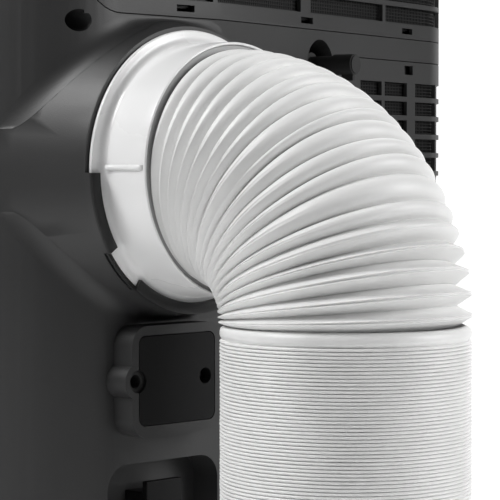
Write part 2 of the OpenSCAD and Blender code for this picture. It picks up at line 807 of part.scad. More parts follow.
module hose_elbow() in_frame() color(HOSE) {
    at_exhaust() {
        ring_y(hose_r, hose_r - pleat_d, 9, bend_start);
        translate([0, bend_start, -bend_r]) rotate([0, 90, 0]) rotate([0, 0, 90])
            rotate_extrude(angle = 90, $fn = 96) translate([bend_r, 0])
                difference() {
                    circle(hose_r, $fn = 96);
                    circle(hose_r - pleat_d, $fn = 96);
                }
    }
}

module at_drop() {
    at_exhaust() translate([0, bend_start + bend_r, -bend_r]) children();
}

module tube_down(r, inner, z1, z2) {
    difference() {
        translate([0, 0, z2]) cylinder(r = r, h = z1 - z2, $fn = 96);
        translate([0, 0, z2 - cut]) cylinder(r = inner, h = z1 - z2 + 2 * cut, $fn = 96);
    }
}

module hose_stack() in_frame() color(HOSE) {
    at_drop() tube_down(hose_r, hose_r - pleat_d, 0, -stack_l);
}

module hose_end_cuff() in_frame() color(WHITE) {
    collar = 18;
    inner = spigot_r - 3;
    at_drop() translate([0, 0, -stack_l]) difference() {
        union() {
            tube_down(hose_r, inner, 0, -collar);
            tube_down(spigot_r, inner, -collar, -cuff_l);
        }
        for (a = [0:30:330])
            rotate([0, 0, a]) translate([hose_r + 1, 0, -collar + 3]) cylinder(r = 2.4, h = collar - 6);
    }
}

// ---------------------------------------------------------------- cord cover and drains

module cord_cover() in_frame() color(CASING_DARK) {
    well_y = -boss_back - 11;
    at_exhaust() difference() {
        union() {
            rounded_y([plate_u0, plate_z - plate_h / 2], [plate_u1, plate_z + plate_h / 2], 5,
                -boss_back - plate_t, -boss_back);
            translate([cover_screw_u, 0, cord_z]) rod_y(screw_well_r + 1.5, well_y, -boss_back - plate_t / 2);
        }
        translate([cord_u, 0, cord_z]) rod_y(cord_hole_r, -boss_back - plate_t - cut, cut);
        translate([cover_screw_u, 0, cord_z]) {
            rod_y(screw_well_r, well_y + 1.6, cut);
            rod_y(1.7, well_y - cut, cut);
        }
    }
}

module cord_cover_screw() in_frame() color(STEEL) {
    head_y = -boss_back - 11 + 1.6;
    at_exhaust() translate([cover_screw_u, 0, cord_z]) {
        difference() {
            rod_y(3.6, head_y, head_y + 2.2);
            for (a = [0, 90])
                translate([0, head_y + 1.8, 0]) rotate([0, a, 0]) cube([4, 2, 0.9], center = true);
        }
        rod_y(1.45, -facet_back - 4, head_y);
    }
}

// Rubber bush in the cord hole
module cord_gland() in_frame() color(BLACK) {
    at_exhaust() translate([cord_u, 0, cord_z]) {
        ring_y(cord_hole_r - 0.05, gland_bore_r, gland_y0, gland_y1);
        ring_y(bulge_r, gland_bore_r, gland_y0 - 3, gland_y0);
    }
}

module cord_hook() in_frame() color(CASING_DARK) {
    floor_y = -facet_back - recess_deep;
    at_exhaust() {
        box([-14.5, floor_y, -225], [17, -facet_back - 6, -205]);
        box([-14.5, -facet_back - 6, -225], [17, -facet_back - 1.5, -198]);
    }
}

module drain_spout() in_frame() color(BLACK) {
    at_wall(rear_t(exhaust_x + drain_x), exhaust_z + drain_z) {
        difference() {
            union() {
                rod_y(spout_r, -drain_deep - 34, 18);
                rod_y(spout_r + 4, -drain_deep, -drain_deep + 2);
                translate([0, -drain_deep - 28, -7])
                    cylinder(r = spout_r + 2, h = tray_z - exhaust_z - drain_z + 7);
            }
            rod_y(spout_r - 1.6, -drain_deep - 28, 18 + cut);
            translate([0, -drain_deep - 28, -5])
                cylinder(r = spout_r, h = tray_z - exhaust_z - drain_z + 5 + cut);
        }
    }
}

module drain_plug() in_frame() color(BLACK) {
    at_wall(rear_t(exhaust_x + drain_x), exhaust_z + drain_z) difference() {
        union() {
            rod_y(plug_r - 0.9, -10, plug_out);
            rod_y(plug_r, plug_out - 17, plug_out - 1);
            rod_y(plug_r + 2, -10, -7);
            box([-1.5, plug_out - 11, -plug_r - 4], [1.5, plug_out - 2, 0]);
        }
        rod_y(spout_r + running, -10 - cut, 18.5);
    }
}

// ---------------------------------------------------------------- outlet

vane_y = front_y + 34;
vane_z0 = outlet_z0 + 2.5 + 1;
vane_z1 = outlet_z1 - 2.5 - 8;
vane_x = [for (i = [-2:2]) i * vane_pitch];
pin_r = 1.5;
crank = 9;

module outlet_frame() in_frame() color(BLACK) {
    t = 2.5;
    w = outlet_w / 2 - 0.3;
    z0 = outlet_z0 + 0.3;
    z1 = outlet_z1 - 0.3;
    difference() {
        box([-w, front_y + 0.5, z0], [w, front_y + outlet_d, z1]);
        box([-w + t, front_y - cut, z0 + t], [w - t, front_y + outlet_d + cut, z1 - t]);
        for (x = vane_x)
            translate([x, vane_y, z0 - cut]) cylinder(r = pin_r + running, h = z1 - z0 + 2 * cut);
        translate([0, flap_y, flap_z]) rod_x(2.5 + running, -w - cut, w + cut);
    }
}

flap_y = front_y + 7.5;
flap_z = outlet_z0 + 8.5;
module louvre_flap() in_frame() color(CASING) {
    w = outlet_w / 2 - 0.3 - 2.5;
    translate([0, flap_y, flap_z]) {
        rod_x(2.5, -w - 2, w + 2);
        rod_x(3.4, -w + free_gap, w - free_gap);
        box([-w + free_gap, -1.5, 0], [w - free_gap, 1.5, outlet_h - 13.5]);
    }
}

module vane(i) in_frame() color(CASING_DARK) {
    translate([vane_x[i], vane_y, 0]) {
        translate([0, 0, outlet_z0 + 0.4]) cylinder(r = pin_r, h = outlet_z1 - outlet_z0 - 0.8);
        box([-0.9, -vane_l / 2, vane_z0], [0.9, vane_l / 2, vane_z1]);
        translate([0, 0, vane_z0]) cylinder(r = 2.6, h = vane_z1 - vane_z0);
        translate([0, crank, vane_z1 - cut]) cylinder(r = pin_r, h = 5.5 + cut);
    }
}
module vane_1() vane(0);
module vane_2() vane(1);
module vane_3() vane(2);
module vane_4() vane(3);
module vane_5() vane(4);

// Bar that joins the vanes' crank pins, with a slot for each
module vane_link() in_frame() color(BLACK) {
    z = vane_z1 + 1.5;
    difference() {
        box([vane_x[0] - 8, vane_y + crank - 4.5, z], [vane_x[4] + 8, vane_y + crank + 4, z + 2.5]);
        for (x = vane_x)
            box([x - pin_r - 0.3, vane_y + crank - 3.6, z - cut], [x + pin_r + 0.3, vane_y + crank + 2, z + 2.5 + cut]);
    }
}

module swing_motor() in_frame() color(STEEL) {
    translate([vane_x[2], vane_y, 0]) {
        translate([0, 0, outlet_z0 - 22]) cylinder(r = 14, h = 20);
        box([-18, -4, outlet_z0 - 5], [18, 4, outlet_z0 - 2]);
    }
}

// ---------------------------------------------------------------- cooling circuit and fans

// Ring of flat blades about the Z axis
module blade_ring(r, inner, h, count, lean) {
    for (i = [0:count - 1])
        rotate([0, 0, i * 360 / count]) translate([(r + inner) / 2, 0, 0]) rotate([0, 0, lean])
            translate([-(r - inner) / 2 - 1, -0.6, 0]) cube([r - inner, 1.2, h]);
}

module drum(r, h, bore, blades) {
    inner = r - 12;
    difference() {
        union() {
            cylinder(r = r, h = 2.5);
            translate([0, 0, h - 2.5]) difference() {
                cylinder(r = r, h = 2.5);
                translate([0, 0, -cut]) cylinder(r = inner, h = 2.5 + 2 * cut);
            }
            cylinder(r = bore + 6, h = 22);
            translate([0, 0, 1]) blade_ring(r - 1.5, inner + 1.5, h - 2, blades, 25);
        }
        translate([0, 0, -cut]) cylinder(r = bore + running, h = h + 2 * cut);
    }
}

blower_u = -25;
blower_z = -128;
blower_r = 100;
blower_y0 = -157;
blower_y1 = -95;

module blower_section(inset) {
    translate([blower_u, blower_z]) circle(blower_r - inset, $fn = 96);
    translate([-78 + inset, blower_z]) square([156 - 2 * inset, -blower_z]);
    circle(78 - inset, $fn = 96);
}

module condenser_housing() in_frame() color(CASING_DARK) {
    t = 2.5;
    at_exhaust() difference() {
        translate([0, blower_y1, 0]) rotate([90, 0, 0]) linear_extrude(blower_y1 - blower_y0) blower_section(0);
        translate([0, blower_y1 - t, 0]) rotate([90, 0, 0]) linear_extrude(blower_y1 - blower_y0 - 2 * t) blower_section(t);
        rod_y(72, blower_y1 - t - cut, blower_y1 + cut);
        translate([blower_u, 0, blower_z]) rod_y(62, blower_y0 - cut, blower_y0 + t + cut);
    }
}

module exhaust_duct() in_frame() color(CASING_DARK) {
    at_exhaust() ring_y(77, 74.5, blower_y1, -6);
}

condenser_shaft_r = 4;
module condenser_wheel() in_frame() color(CASING_DARK) {
    at_exhaust() translate([blower_u, blower_y1 - 8, blower_z]) rotate([90, 0, 0])
        drum(86, 46, condenser_shaft_r, 30);
}

evap_y = front_y + 165;
evap_z = case_z1 - 106;
evap_l = body_w - 198;
evap_r = 80;
module evaporator_housing() in_frame() color(CASING_DARK) {
    t = 2.5;
    translate([0, evap_y, evap_z]) difference() {
        rod_x(evap_r, -evap_l / 2, evap_l / 2);
        rod_x(evap_r - t, -evap_l / 2 + t, evap_l / 2 - t);
        rod_x(12, -evap_l / 2 - cut, evap_l / 2 + cut);
        box([-evap_l / 2 + 8, 0, -50], [evap_l / 2 - 8, evap_r + cut, 50]);
        box([-evap_l / 2 + 8, -evap_r - cut, 5], [evap_l / 2 - 8, 0, 60]);
    }
}

module evaporator_wheel() in_frame() color(CASING_DARK) {
    l = evap_l - 24;
    translate([-l / 2, evap_y, evap_z]) rotate([0, 90, 0]) difference() {
        union() {
            for (x = [0, l / 2 - 1, l - 2])
                translate([0, 0, x]) cylinder(r = 60, h = 2);
            blade_ring(60, 46, l, 24, 28);
            translate([0, 0, 0]) cylinder(r = 9, h = 20);
            translate([0, 0, l - 20]) cylinder(r = 9, h = 20);
        }
        translate([0, 0, -cut]) cylinder(r = 4 + running, h = l + 2 * cut);
    }
}

// Blower motors, each with its shaft, and the motor of the slinger wheel
slinger_x = -half_w + 150;
slinger_z = base_z + 46;
slinger_y = -116;
module blower_motors() in_frame() color(STEEL) {
    at_exhaust() translate([blower_u, 0, blower_z]) {
        rod_y(46, blower_y0 - 42, blower_y0 - 3);
        rod_y(condenser_shaft_r, blower_y0 - 4, blower_y1 - 8);
    }
    translate([0, evap_y, evap_z]) {
        rod_x(36, evap_l / 2 + 3, evap_l / 2 + 50);
        rod_x(4, -evap_l / 2 + 4, evap_l / 2 + 4);
    }
    translate([slinger_x, slinger_y, slinger_z]) {
        rod_x(20, 12, 48);
        rod_x(3, -6, 13);
    }
}

// Wheel that throws condensate from the base pan onto the condenser
module slinger_wheel() in_frame() color(BLACK) {
    translate([slinger_x, slinger_y, slinger_z]) difference() {
        union() {
            rod_x(30, -1, 1);
            rod_x(8, -6, 6);
            for (a = [0:30:330])
                rotate([a, 0, 0]) box([-6, -1, 28], [6, 1, 38]);
        }
        rod_x(3 + running, -7, 7);
    }
}

// Finned block: plates on tubes, with bends at both ends
module coil(x0, x1, y0, y1, z0, z1) {
    rows = floor((z1 - z0) / 22);
    difference() {
        box([x0, y0, z0], [x1, y1, z1]);
        for (x = [x0 + 12:24:x1 - 12])
            box([x - 0.8, y1 - 5, z0 + 3], [x + 0.8, y1 + cut, z1 - 3]);
    }
    for (i = [0:rows - 1]) {
        z = z0 + 11 + i * 22;
        for (y = [y0 + 9, y1 - 11])
            translate([0, y, z]) rod_x(3.6, x0 - 9, x1 + 9);
        for (x = [x0 - 9, x1 + 9])
            translate([x, y0 + 9, z]) rod_y(4.4, -4.6, y1 - y0 - 20 + 4.6);
    }
}

coil_y0 = -74;
coil_y1 = -38;
module condenser_coil() in_frame() color(ALUMINIUM) {
    coil(-half_w + 44, exhaust_x - 163, coil_y0 - 6, coil_y1 - 6, lower_z0 - 10, exhaust_z + 48);
}

module evaporator_coil() in_frame() color(ALUMINIUM) {
    coil(-half_w + 44, exhaust_x + 21, coil_y0, coil_y1, tray_z + 18, case_z1 - 6);
}

// Tray under the evaporator coil
module drain_tray() in_frame() color(CASING_DARK) {
    low = [-half_w + 30, coil_y0 - 44, tray_z];
    high = [half_w - 54, -32, tray_z + 14];
    difference() {
        box(low, high);
        box(low + [3, 3, 3], high + [-3, -3, cut]);
        translate([exhaust_x + drain_x, -drain_deep - 28, tray_z - cut]) cylinder(r = spout_r, h = 5);
    }
}

comp_x = -half_w + 132;
comp_y = front_y + 118;
comp_z = base_z + 24;
module compressor() in_frame() color([0.12, 0.12, 0.13]) {
    translate([comp_x, comp_y, comp_z]) {
        rotate_extrude($fn = 96)
            polygon([[0, 0], [50, 0], [58, 8], [60, 20], [60, 40], [63, 42], [63, 48], [60, 50],
                [60, 170], [56, 190], [42, 206], [20, 214], [0, 216]]);
        for (a = [0, 120, 240])
            rotate([0, 0, a]) box([40, -14, 4], [84, 14, 8]);
        translate([0, 30, 205]) cylinder(r = 5, h = 26);
        translate([-76, 20, 20]) cylinder(r = 22, h = 130);
        box([-64, 12, 60], [-50, 28, 90]);
    }
}

module compressor_mounts() in_frame() color(BLACK) {
    translate([comp_x, comp_y, base_z + 4])
        for (a = [0, 120, 240])
            rotate([0, 0, a]) translate([74, 0, 0]) {
                cylinder(r = 10, h = comp_z + 4 - base_z - 4);
                translate([0, 0, comp_z + 8 - base_z - 4]) cylinder(r = 8, h = 8);
            }
}

// Pipe through a list of points, with round elbows
module pipe(points, r) {
    for (i = [0:len(points) - 2]) {
        a = points[i];
        b = points[i + 1];
        d = b - a;
        l = norm(d);
        translate(a) rotate([0, acos(d.z / l), atan2(d.y, d.x)]) cylinder(r = r, h = l, $fn = 24);
        if (i > 0) translate(a) sphere(r * 1.05, $fn = 24);
    }
}

module refrigerant_pipes() in_frame() color(COPPER) {
    top = comp_z + 232;
    pipe([[comp_x, comp_y + 30, top], [comp_x, comp_y + 30, top + 26],
        [comp_x + 40, comp_y + 60, top + 26], [comp_x + 40, coil_y0 - 6, top + 26]], 4);
    pipe([[comp_x - 76, comp_y + 20, comp_z + 152], [comp_x - 76, comp_y + 20, top + 60],
        [comp_x - 60, comp_y + 80, tray_z - 10]], 5);
}

module control_box() in_frame() color([0.55, 0.56, 0.58]) {
    x = 40;
    y = front_y + 20;
    z = case_z0 + 180;
    difference() {
        box([x, y, z], [x + 130, y + 60, z + 150]);
        box([x + 2, y + 2, z + 2], [x + 128, y + 58, z + 151]);
    }
    box([x + 12, y + 14, z + 8], [x + 118, y + 16, z + 140]);
    translate([x + 40, y + 38, z + 2]) cylinder(r = 17, h = 80);
}

// Float that switches the machine off when the base pan is full
float_x = -half_w + 250;
float_y = -60;
float_z = base_z + 34;
module float_lever() in_frame() color(BLACK) {
    translate([float_x, float_y, float_z]) {
        rod_x(2, -8, 8);
        box([-2, -34, -1.5], [2, 0, 1.5]);
        box([-9, -52, -9], [9, -30, 7]);
    }
}

// ---------------------------------------------------------------- nodes

base_pan();
rear_casing();
front_casing();
top_cover();
control_panel();
display_window();
power_button();
mode_button();
timer_button();
up_button();
down_button();
outlet_frame();
louvre_flap();
vane_1();
vane_2();
vane_3();
vane_4();
vane_5();
vane_link();
swing_motor();
upper_filter_frame();
upper_filter_mesh();
lower_filter_frame();
lower_filter_mesh();
exhaust_adaptor();
hose_elbow();
hose_stack();
hose_end_cuff();
cord_cover();
cord_cover_screw();
cord_gland();
cord_hook();
drain_spout();
drain_plug();
bottom_drain_cap();
caster_fork_1();
caster_fork_2();
caster_fork_3();
caster_fork_4();
caster_wheel_1();
caster_wheel_2();
caster_wheel_3();
caster_wheel_4();
side_handles();
casing_screws();
exhaust_duct();
condenser_housing();
condenser_wheel();
condenser_coil();
evaporator_housing();
evaporator_wheel();
evaporator_coil();
blower_motors();
slinger_wheel();
compressor();
compressor_mounts();
refrigerant_pipes();
drain_tray();
control_box();
float_lever();
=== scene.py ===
"""Portable air conditioner seen from behind, where its pleated exhaust hose leaves the rear corner."""
import json
import math
import random
import bmesh
import bpy
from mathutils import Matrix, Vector


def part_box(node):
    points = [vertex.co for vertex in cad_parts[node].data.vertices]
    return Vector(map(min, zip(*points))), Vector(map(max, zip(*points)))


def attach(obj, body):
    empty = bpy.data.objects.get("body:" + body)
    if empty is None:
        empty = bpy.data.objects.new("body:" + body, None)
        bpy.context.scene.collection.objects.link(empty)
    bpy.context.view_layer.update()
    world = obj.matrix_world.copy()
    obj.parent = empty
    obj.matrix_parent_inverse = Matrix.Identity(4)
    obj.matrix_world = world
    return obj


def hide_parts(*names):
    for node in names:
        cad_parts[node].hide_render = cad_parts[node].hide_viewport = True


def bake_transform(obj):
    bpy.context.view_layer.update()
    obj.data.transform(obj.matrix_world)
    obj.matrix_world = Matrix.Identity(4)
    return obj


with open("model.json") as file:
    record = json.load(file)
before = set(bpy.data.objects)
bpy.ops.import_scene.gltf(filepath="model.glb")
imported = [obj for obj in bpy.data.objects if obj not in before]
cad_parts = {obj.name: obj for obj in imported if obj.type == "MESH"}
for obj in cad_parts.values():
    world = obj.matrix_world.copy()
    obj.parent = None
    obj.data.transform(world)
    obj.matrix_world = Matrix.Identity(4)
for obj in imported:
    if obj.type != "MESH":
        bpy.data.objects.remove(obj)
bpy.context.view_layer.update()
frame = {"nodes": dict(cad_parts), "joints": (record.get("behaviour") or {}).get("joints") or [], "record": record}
random.seed(7)

MM = 0.001
nodes = frame["nodes"]
joints = {j["name"]: j for j in frame["joints"]}

# ------------------------------------------------------------------ places, from the CAD frame
stack_low, stack_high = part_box("hose_stack")
elbow_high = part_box("hose_elbow")[1]
HOSE_R = (stack_high.x - stack_low.x) / 2
DROP = Vector(((stack_low.x + stack_high.x) / 2, (stack_low.y + stack_high.y) / 2, stack_high.z))
AXIS_Z = elbow_high.z - HOSE_R
BEND_R = AXIS_Z - stack_high.z
BEND_START = 34.5 * MM
OUT = Vector(joints["condenser_fan_spin"]["axis"]).normalized()
SIDE = Vector((OUT.y, -OUT.x, 0))
UP = Vector((0, 0, 1))
FLANGE = Vector((DROP.x, DROP.y, AXIS_Z)) - OUT * (BEND_START + BEND_R)
base_low, base_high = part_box("base_pan")
HALF_W = (base_high.x - base_low.x) / 2
MID_X = (base_high.x + base_low.x) / 2
REAR_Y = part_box("upper_filter_frame")[1].y
CORNER_R = 64 * MM  # upright edges of the casing
FACET_BACK = 24.1 * MM  # slanting wall behind the flange
SHROUD_R = 90.5 * MM
FLANGE_R, FLANGE_T = 88 * MM, 3 * MM
SLEEVE_R, SLEEVE_BORE = 79.2 * MM, 75.6 * MM
FLARE = math.tan(math.radians(13.5))
ROOT_NEAR, ROOT_FAR = -5 * MM, -92 * MM
SLEEVE_L = 36.8 * MM
TURN = math.atan2(OUT.x, OUT.y)


def exhaust_point(side, out, up):
    """Point in the exhaust's own directions, from the middle of the flange's face."""
    return FLANGE + SIDE * side + OUT * out + UP * up


# ------------------------------------------------------------------ camera, stage and light
CAMERA_STAND = Vector((1.1849, 0.7896, 0))  # from just behind the flange to the camera


def add_camera():
    data = bpy.data.cameras.new("camera")
    data.lens = 162
    data.sensor_width = 36
    data.clip_start = 0.05
    cam = bpy.data.objects.new("camera", data)
    bpy.context.scene.collection.objects.link(cam)
    azimuth, pitch = math.radians(122.1), math.radians(2.03)
    back = Vector((math.sin(azimuth), -math.cos(azimuth), 0))
    view = -back * math.cos(pitch) - UP * math.sin(pitch)
    cam.location = FLANGE - OUT * (5.5 * MM) + CAMERA_STAND
    cam.rotation_mode = "QUATERNION"
    cam.rotation_quaternion = view.to_track_quat("-Z", "Y")
    bpy.context.scene.camera = cam
    return back


def add_light(name, place, size, power, target, colour=(1, 1, 1)):
    data = bpy.data.lights.new(name, "AREA")
    data.shape = "RECTANGLE"
    data.size, data.size_y = size
    data.energy = power
    data.color = colour
    lamp = bpy.data.objects.new(name, data)
    bpy.context.scene.collection.objects.link(lamp)
    lamp.location = place
    lamp.rotation_mode = "QUATERNION"
    lamp.rotation_quaternion = (Vector(target) - Vector(place)).to_track_quat("-Z", "Y")


def stage_material(name, colour, glow):
    mat = bpy.data.materials.new(name)
    mat.use_nodes = True
    shader = mat.node_tree.nodes["Principled BSDF"]
    shader.inputs["Base Color"].default_value = (*colour, 1)
    shader.inputs["Roughness"].default_value = 0.9
    shader.inputs["Emission Color"].default_value = (*colour, 1)
    shader.inputs["Emission Strength"].default_value = glow
    return mat


def add_stage(back):
    bpy.ops.mesh.primitive_plane_add(size=2.2, location=(0, 0, -0.0005))
    floor = bpy.context.object
    floor.name = "floor"
    floor.data.materials.append(stage_material("floor", (0.93, 0.93, 0.93), 0.16))
    bpy.ops.mesh.primitive_plane_add(size=9)
    wall = bpy.context.object
    wall.name = "backdrop"
    wall.location = -back * 5 + Vector((0, 0, 2))
    wall.rotation_mode = "QUATERNION"
    wall.rotation_quaternion = back.to_track_quat("Z", "Y")
    wall.data.materials.append(stage_material("backdrop", (1, 1, 1), 1.0))
    world = bpy.data.worlds.new("studio")
    bpy.context.scene.world = world
    world.use_nodes = True
    world.node_tree.nodes["Background"].inputs[0].default_value = (1, 1, 1, 1)
    world.node_tree.nodes["Background"].inputs[1].default_value = 0.15


view_back = add_camera()
add_stage(view_back)
CENTRE = exhaust_point(0, 0.05, 0)
LEFT = view_back.cross(UP)
add_light("key", CENTRE + LEFT * 1.25 + UP * 1.35 + view_back * 0.35, (0.8, 0.8), 31, CENTRE)
add_light("side", CENTRE - LEFT * 1.5 + UP * 0.55 + view_back * 0.25, (0.7, 1.1), 19, CENTRE)
add_light("front", Vector((-0.6, -2.4, 1.7)), (1.4, 1.4), 19, (0, 0, 0.4))
bpy.context.scene.view_settings.view_transform = "Standard"


# ------------------------------------------------------------------ materials
def material(name, colour, rough, grain=1400, bump=0.05, spread=0.06, metal=0.0, coat=0.0,
             spec=0.5, through=0.0, patches=9.0, stretch=(1, 1, 1)):
    """Moulded or drawn surface: fine grain in the bump, wide soft patches in colour and gloss."""
    mat = bpy.data.materials.new(name)
    mat.use_nodes = True
    tree = mat.node_tree
    shader = tree.nodes["Principled BSDF"]
    coords = tree.nodes.new("ShaderNodeTexCoord")
    place = tree.nodes.new("ShaderNodeMapping")
    place.inputs["Scale"].default_value = stretch
    tree.links.new(coords.outputs["Object"], place.inputs["Vector"])
    fine = tree.nodes.new("ShaderNodeTexNoise")
    fine.inputs["Scale"].default_value = grain
    fine.inputs["Detail"].default_value = 3
    wide = tree.nodes.new("ShaderNodeTexNoise")
    wide.inputs["Scale"].default_value = patches
    wide.inputs["Detail"].default_value = 5
    for noise in (fine, wide):
        tree.links.new(place.outputs["Vector"], noise.inputs["Vector"])
    tint = tree.nodes.new("ShaderNodeValToRGB")
    tint.color_ramp.elements[0].position = 0.3
    tint.color_ramp.elements[1].position = 0.7
    tint.color_ramp.elements[0].color = (*[c * (1 - spread) for c in colour], 1)
    tint.color_ramp.elements[1].color = (*[min(1, c * (1 + spread)) for c in colour], 1)
    tree.links.new(wide.outputs["Fac"], tint.inputs["Fac"])
    tree.links.new(tint.outputs["Color"], shader.inputs["Base Color"])
    gloss = tree.nodes.new("ShaderNodeMapRange")
    gloss.inputs["To Min"].default_value = max(0.03, rough - 0.07)
    gloss.inputs["To Max"].default_value = min(1, rough + 0.07)
    tree.links.new(wide.outputs["Fac"], gloss.inputs["Value"])
    tree.links.new(gloss.outputs["Result"], shader.inputs["Roughness"])
    relief = tree.nodes.new("ShaderNodeBump")
    relief.inputs["Strength"].default_value = bump
    relief.inputs["Distance"].default_value = 0.0004
    tree.links.new(fine.outputs["Fac"], relief.inputs["Height"])
    tree.links.new(relief.outputs["Normal"], shader.inputs["Normal"])
    shader.inputs["Metallic"].default_value = metal
    shader.inputs["Coat Weight"].default_value = coat
    shader.inputs["Specular IOR Level"].default_value = spec
    shader.inputs["Subsurface Weight"].default_value = through
    shader.inputs["Subsurface Radius"].default_value = (0.004, 0.004, 0.004)
    return mat


M = {
    "casing": material("casing", (0.026, 0.026, 0.0263), 0.48, grain=1500, bump=0.16, spread=0.05),
    "dark_casing": material("dark_casing", (0.0055, 0.0055, 0.0057), 0.6, bump=0.18,
                            spec=0.18),
    "black_plastic": material("black_plastic", (0.0035, 0.0035, 0.0037), 0.55, bump=0.15),
    "panel_gloss": material("panel_gloss", (0.006, 0.006, 0.007), 0.12, bump=0.01, coat=0.6),
    "display": material("display", (0.012, 0.016, 0.020), 0.08, bump=0.0, coat=1.0),
    "button": material("button", (0.42, 0.43, 0.45), 0.3, bump=0.04, coat=0.2),
    "white_plastic": material("white_plastic", (0.86, 0.86, 0.86), 0.28, grain=500, bump=0.03,
                              spread=0.015, coat=0.25),
    "hose_film": material("hose_film", (0.82, 0.82, 0.815), 0.42, grain=260, bump=0.10,
                          spread=0.03, through=0.08, patches=30),
    # Painted shade: this mid grey colours a ring that stands for the shaded groove between the sleeve's rim and
    # the white hose.
    "groove_shade_grey": material("groove_shade_grey", (0.38, 0.38, 0.38), 0.5),
    "rubber": material("rubber", (0.010, 0.010, 0.010), 0.62, grain=900, bump=0.2),
    "steel": material("steel", (0.48, 0.49, 0.50), 0.3, metal=1.0, bump=0.08, stretch=(1, 1, 8)),
    "copper": material("copper", (0.62, 0.27, 0.14), 0.28, metal=1.0, bump=0.05),
    "aluminium": material("aluminium", (0.30, 0.31, 0.32), 0.4, metal=0.9, bump=0.06),
    "black_metal": material("black_metal", (0.012, 0.012, 0.013), 0.3, bump=0.05, coat=0.3),
}


# ------------------------------------------------------------------ CAD nodes that stay
def give(obj, slot):
    obj.data.materials.clear()
    obj.data.materials.append(M[slot])


def soften(obj, width):
    """Joins the mesh at its edges, rounds them by a small radius and evens the shading."""
    weld = obj.modifiers.new("weld", "WELD")
    weld.merge_threshold = 0.00002
    flat = obj.modifiers.new("flat", "DECIMATE")
    flat.decimate_type = "DISSOLVE"
    flat.angle_limit = math.radians(1.0)
    if width:
        edge = obj.modifiers.new("edge", "BEVEL")
        edge.width = width
        edge.segments = 2
        edge.limit_method = "ANGLE"
        edge.angle_limit = math.radians(35)
        edge.harden_normals = False
    even = obj.modifiers.new("even", "WEIGHTED_NORMAL")
    even.keep_sharp = False
    for face in obj.data.polygons:
        face.use_smooth = True


slots = {s["node"]: s["material_slot"] for s in frame["record"]["subparts"]}
EDGES = {
    "rear_casing": 0.7, "front_casing": 0.8, "top_cover": 0.5, "base_pan": 0.8,
    "upper_filter_frame": 0.5, "lower_filter_frame": 0.5, "cord_cover": 0.3, "louvre_flap": 0.8,
    "outlet_frame": 0.6, "control_panel": 0.5, "display_window": 0.2, "side_handles": 0.8,
    "cord_hook": 0.8, "drain_plug": 0.6, "drain_spout": 0.3, "bottom_drain_cap": 0.4,
    "hose_end_cuff": 0.6, "cord_gland": 0.4, "vane_link": 0.3, "control_box": 0.5,
}
for name, obj in nodes.items():
    give(obj, slots[name])
    soften(obj, EDGES.get(name, 0.3) * MM)


# ------------------------------------------------------------------ mesh helpers
def add_mesh(name, verts, faces, slot, body, smooth=True):
    mesh = bpy.data.meshes.new(name)
    mesh.from_pydata([tuple(v) for v in verts], [], faces)
    mesh.validate()
    mesh.update()
    obj = bpy.data.objects.new(name, mesh)
    bpy.context.scene.collection.objects.link(obj)
    obj.data.materials.append(M[slot])
    for face in mesh.polygons:
        face.use_smooth = smooth
    if body:
        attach(obj, body)
    return obj


def grid_faces(rows, columns, closed_rows=False, closed_columns=False):
    faces = []
    for i in range(rows if closed_rows else rows - 1):
        for k in range(columns if closed_columns else columns - 1):
            i2, k2 = (i + 1) % rows, (k + 1) % columns
            faces.append((i * columns + k, i * columns + k2, i2 * columns + k2, i2 * columns + k))
    return faces


def turned(outline, count):
    """Points of an outline of (radius, distance out) turned round the exhaust's axis."""
    verts = []
    for k in range(count):
        a = 2 * math.pi * k / count
        for r, y in outline:
            verts.append(exhaust_point(r * math.cos(a), y, r * math.sin(a)))
    return verts


def box_mesh(low, high, verts, faces):
    base = len(verts)
    for x in (low[0], high[0]):
        for y in (low[1], high[1]):
            for z in (low[2], high[2]):
                verts.append((x, y, z))
    for f in ((0, 1, 3, 2), (4, 6, 7, 5), (0, 4, 5, 1), (2, 3, 7, 6), (0, 2, 6, 4), (1, 5, 7, 3)):
        faces.append(tuple(base + i for i in f))


# ------------------------------------------------------------------ exhaust adaptor
def arc(cx, cy, r, a0, a1, n):
    step = (a1 - a0) / n
    return [(cx + r * math.cos(math.radians(a0 + i * step)),
             cy + r * math.sin(math.radians(a0 + i * step))) for i in range(n + 1)]


